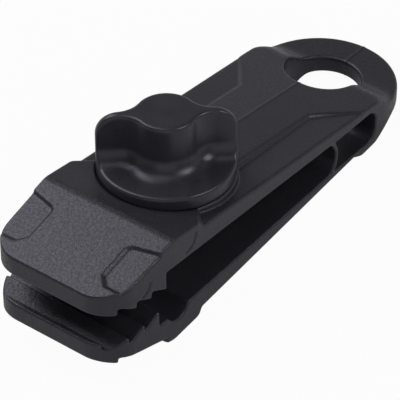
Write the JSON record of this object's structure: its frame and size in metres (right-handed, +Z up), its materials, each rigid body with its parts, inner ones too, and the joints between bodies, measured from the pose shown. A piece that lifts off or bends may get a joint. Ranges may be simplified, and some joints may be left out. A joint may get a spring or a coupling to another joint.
{
  "type": "screw tarp clip",
  "caption": "Black moulded hairpin tarp clip: toothed jaws, a wing knob whose bolt draws the arms together, and an eye at the rear for a rope.",
  "frame": {"origin": "under the middle of the clip's box, on the surface it lies on", "axes": "+X from the jaws to the eye, +Z up towards the knob, +Y across the clip"},
  "size_m": [0.1048, 0.032, 0.0363],
  "materials": {
    "nylon": "fine moulded texture",
    "knob": "satin",
    "steel": "zinc plated"
  },
  "bodies": {
    "body": {"lower_arm": "nylon", "hinge_web": "nylon", "rear_eye": "nylon"},
    "upper_jaw": {"upper_arm": "nylon"},
    "knob": {"knob": "knob", "bolt": "steel"},
    "nut": {"nut": "steel"}
  },
  "joints": [
    {"name": "jaw_flex", "type": "hinge", "parent": "body", "child": "upper_jaw", "pos_m": [0.02025, 0, 0.01207], "axis": [0, -1, 0], "range_deg": [0, 4.4]},
    {"name": "knob_turn", "type": "hinge", "parent": "upper_jaw", "child": "knob", "pos_m": [-0.01523, 0, 0.01054], "axis": [-0.1089, 0, -0.9941], "range_deg": [0, 1200]},
    {"name": "nut_travel", "type": "slide", "parent": "upper_jaw", "child": "nut", "axis": [0.1089, 0, 0.9941], "range_m": [0, 0.00267]}
  ],
  "couplings": [
    {"joint": "knob_turn", "follows": "nut_travel", "rad_per_m": 7854},
    {"joint": "jaw_flex", "follows": "nut_travel", "rad_per_m": 28.736}
  ]
}
